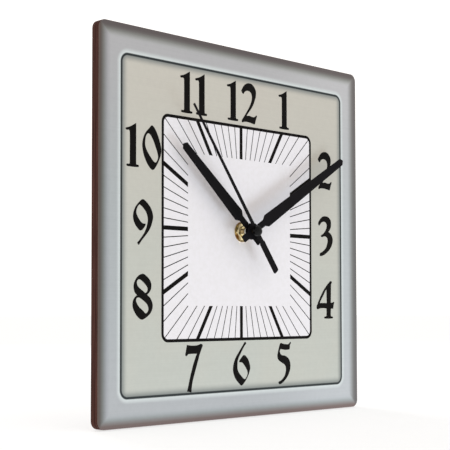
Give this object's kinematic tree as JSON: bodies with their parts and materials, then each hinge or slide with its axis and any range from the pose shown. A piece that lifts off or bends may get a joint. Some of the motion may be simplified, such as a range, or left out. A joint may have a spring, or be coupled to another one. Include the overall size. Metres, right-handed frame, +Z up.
{
  "type": "wall clock",
  "caption": "Square flat-panel quartz wall clock: printed dial on a thin rigid board, three baton hands, and a battery movement with a hanger clamped behind through one central hole.",
  "frame": {"origin": "on the wall plane, where the axis of the hands meets the rear face of the movement's cover", "axes": "the dial faces -Y and the wall lies at Y = 0, +X is to the right seen from the front, +Z is up towards 12 o'clock"},
  "size_m": [0.26, 0.042, 0.26],
  "materials": {
    "hardboard": "dark brown stained hardboard, matt sawn edge",
    "print": "printed film under a satin laminate",
    "brass": "turned, bright",
    "rubber": "matt",
    "steel": "zinc plated",
    "black_plastic": "fine moulded texture",
    "white_plastic": "smooth moulded acetal",
    "battery_jacket": null,
    "circuit_board": "solder resist",
    "chip_epoxy": "epoxy blob",
    "copper": "enamelled fine copper wire",
    "magnet": "ground",
    "black_paint": "black satin paint on aluminium sheet",
    "cap_plastic": "black satin"
  },
  "bodies": {
    "clock_body": {"panel": "hardboard", "printed_face": "print", "dial_washer": "brass", "hex_nut": "brass", "rubber_gasket": "rubber", "hanger_plate": "steel", "front_case": "black_plastic", "threaded_bush": "brass", "rear_cover": "black_plastic", "train_plate": "white_plastic", "battery": "battery_jacket", "battery_contact_plus": "steel", "battery_contact_minus": "steel", "circuit_board": "circuit_board", "chip": "chip_epoxy", "quartz_crystal": "steel", "stator": "steel", "coil_core": "steel", "coil_bobbin": "white_plastic", "coil_winding": "copper"},
    "seconds": {"second_wheel": "white_plastic", "second_arbor": "steel", "second_hand": "black_paint", "second_hand_cap": "cap_plastic"},
    "rotor_body": {"rotor": "white_plastic", "rotor_magnet": "magnet"},
    "intermediate_body": {"intermediate_wheel": "white_plastic"},
    "third_body": {"third_wheel": "white_plastic"},
    "centre_body": {"centre_wheel": "white_plastic"},
    "minutes": {"minute_pipe": "brass", "minute_hand": "black_paint"},
    "minute_wheel_body": {"minute_wheel": "white_plastic"},
    "hours": {"hour_wheel": "white_plastic", "hour_hand": "black_paint"},
    "setting_body": {"setting_pinion": "white_plastic", "setting_knob": "black_plastic"}
  },
  "joints": [
    {"name": "second_hand_turn", "type": "hinge", "parent": "clock_body", "child": "seconds", "pos_m": [0, 0, 0], "axis": [0, 1, 0], "continuous": true},
    {"name": "rotor_turn", "type": "hinge", "parent": "clock_body", "child": "rotor_body", "pos_m": [0.00949, 0, 0.01211], "axis": [0, 1, 0], "continuous": true},
    {"name": "intermediate_wheel_turn", "type": "hinge", "parent": "clock_body", "child": "intermediate_body", "pos_m": [0.00818, 0, 0.00473], "axis": [0, 1, 0], "continuous": true},
    {"name": "third_wheel_turn", "type": "hinge", "parent": "clock_body", "child": "third_body", "pos_m": [-0.00795, 0, 0.00459], "axis": [0, 1, 0], "continuous": true},
    {"name": "centre_wheel_turn", "type": "hinge", "parent": "clock_body", "child": "centre_body", "pos_m": [0, 0, 0], "axis": [0, 1, 0], "continuous": true},
    {"name": "minute_hand_turn", "type": "hinge", "parent": "clock_body", "child": "minutes", "pos_m": [0, 0, 0], "axis": [0, 1, 0], "continuous": true},
    {"name": "minute_wheel_turn", "type": "hinge", "parent": "clock_body", "child": "minute_wheel_body", "pos_m": [-0.00835, 0, -0.00224], "axis": [0, 1, 0], "continuous": true},
    {"name": "hour_hand_turn", "type": "hinge", "parent": "clock_body", "child": "hours", "pos_m": [0, 0, 0], "axis": [0, 1, 0], "continuous": true},
    {"name": "setting_knob_turn", "type": "hinge", "parent": "clock_body", "child": "setting_body", "pos_m": [-0.01685, 0, -0.00374], "axis": [0, 1, 0], "continuous": true}
  ],
  "couplings": [
    {"joint": "intermediate_wheel_turn", "follows": "second_hand_turn", "ratio": -6},
    {"joint": "rotor_turn", "follows": "second_hand_turn", "ratio": 30},
    {"joint": "third_wheel_turn", "follows": "second_hand_turn", "ratio": -0.13333},
    {"joint": "centre_wheel_turn", "follows": "second_hand_turn", "ratio": 0.016667},
    {"joint": "minute_wheel_turn", "follows": "minute_hand_turn", "ratio": -0.33333},
    {"joint": "hour_hand_turn", "follows": "minute_hand_turn", "ratio": 0.083333},
    {"joint": "setting_knob_turn", "follows": "minute_hand_turn", "ratio": 1}
  ]
}
